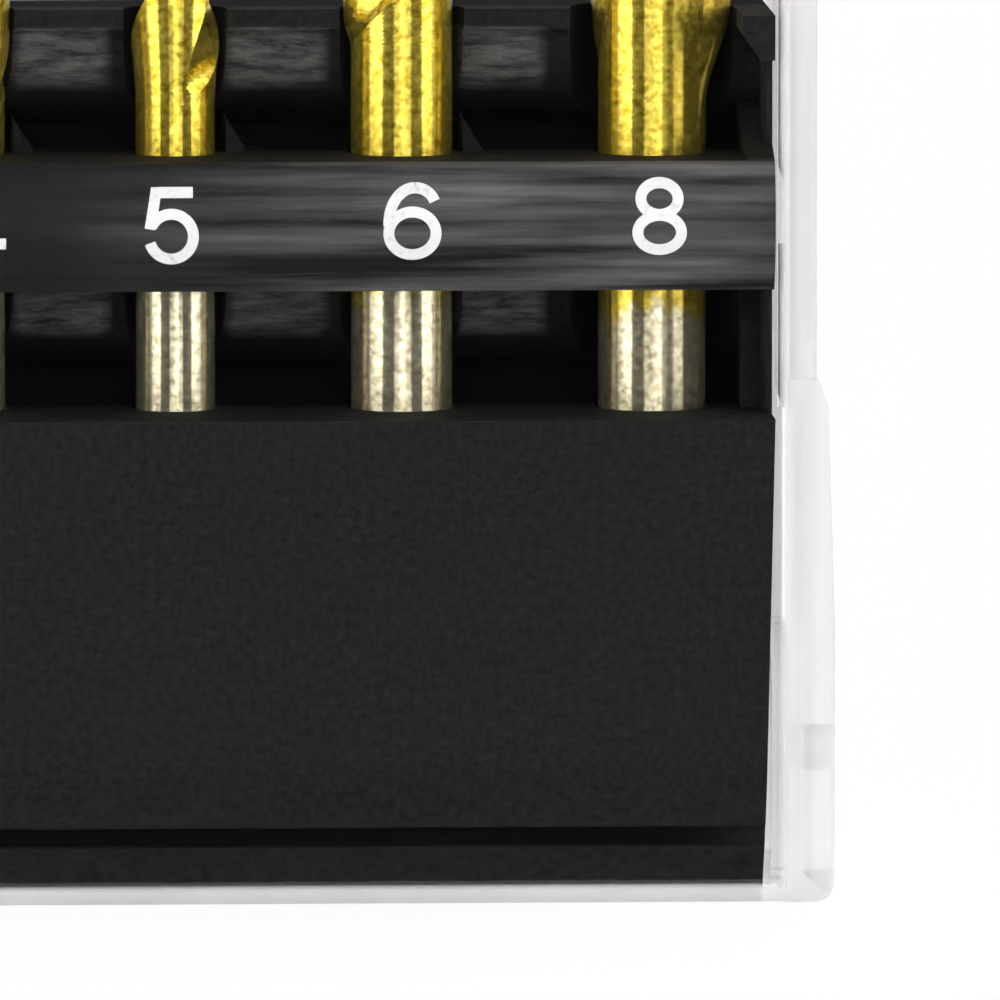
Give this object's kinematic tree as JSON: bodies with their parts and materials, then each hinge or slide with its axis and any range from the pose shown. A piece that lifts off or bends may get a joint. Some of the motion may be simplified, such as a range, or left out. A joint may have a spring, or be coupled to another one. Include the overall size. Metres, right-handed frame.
{
  "type": "drill bit case",
  "caption": "Clear flip-lid plastic case with a black moulded insert that holds a graded row of coated masonry drill bits behind a numbered band.",
  "frame": {"origin": "middle of the case's back face, on the plane the case lies on", "axes": "+X across the case towards the largest bit, +Y along the bits towards their tips and the lid's opening edge, +Z out of the back towards the lid's front"},
  "size_m": [0.0588, 0.128, 0.0165],
  "materials": {
    "clear_base": "clear polystyrene, polished",
    "clear_lid": "clear polystyrene, polished",
    "black_insert": "black moulded polypropylene, finely grained",
    "coated_steel": "gold-coloured hard coating over ground steel, bare at the shank's foot",
    "white_print": "white hot-stamped numerals on the band",
    "carbide": "ground tungsten carbide"
  },
  "bodies": {
    "base": {"base_shell": "clear_base", "bit_insert": "black_insert"},
    "lid": {"lid_shell": "clear_lid"},
    "drill_3": {"bit_3": "coated_steel", "carbide_tip_3": "carbide"},
    "drill_4": {"bit_4": "coated_steel", "carbide_tip_4": "carbide"},
    "drill_5": {"bit_5": "coated_steel", "carbide_tip_5": "carbide"},
    "drill_6": {"bit_6": "coated_steel", "carbide_tip_6": "carbide"},
    "drill_8": {"bit_8": "coated_steel", "carbide_tip_8": "carbide"}
  },
  "joints": [
    {"name": "lid_hinge", "type": "hinge", "parent": "base", "child": "lid", "pos_m": [0, -0.0572, 0.005], "axis": [1, 0, 0], "range_deg": [0, 180]},
    {"name": "slide_3", "type": "slide", "parent": "base", "child": "drill_3", "axis": [0, 1, 0], "range_m": [0, 0.0634]},
    {"name": "slide_4", "type": "slide", "parent": "base", "child": "drill_4", "axis": [0, 1, 0], "range_m": [0, 0.0484]},
    {"name": "slide_5", "type": "slide", "parent": "base", "child": "drill_5", "axis": [0, 1, 0], "range_m": [0, 0.0384]},
    {"name": "slide_6", "type": "slide", "parent": "base", "child": "drill_6", "axis": [0, 1, 0], "range_m": [0, 0.0234]},
    {"name": "slide_8", "type": "slide", "parent": "base", "child": "drill_8", "axis": [0, 1, 0], "range_m": [0, 0.002]}
  ]
}
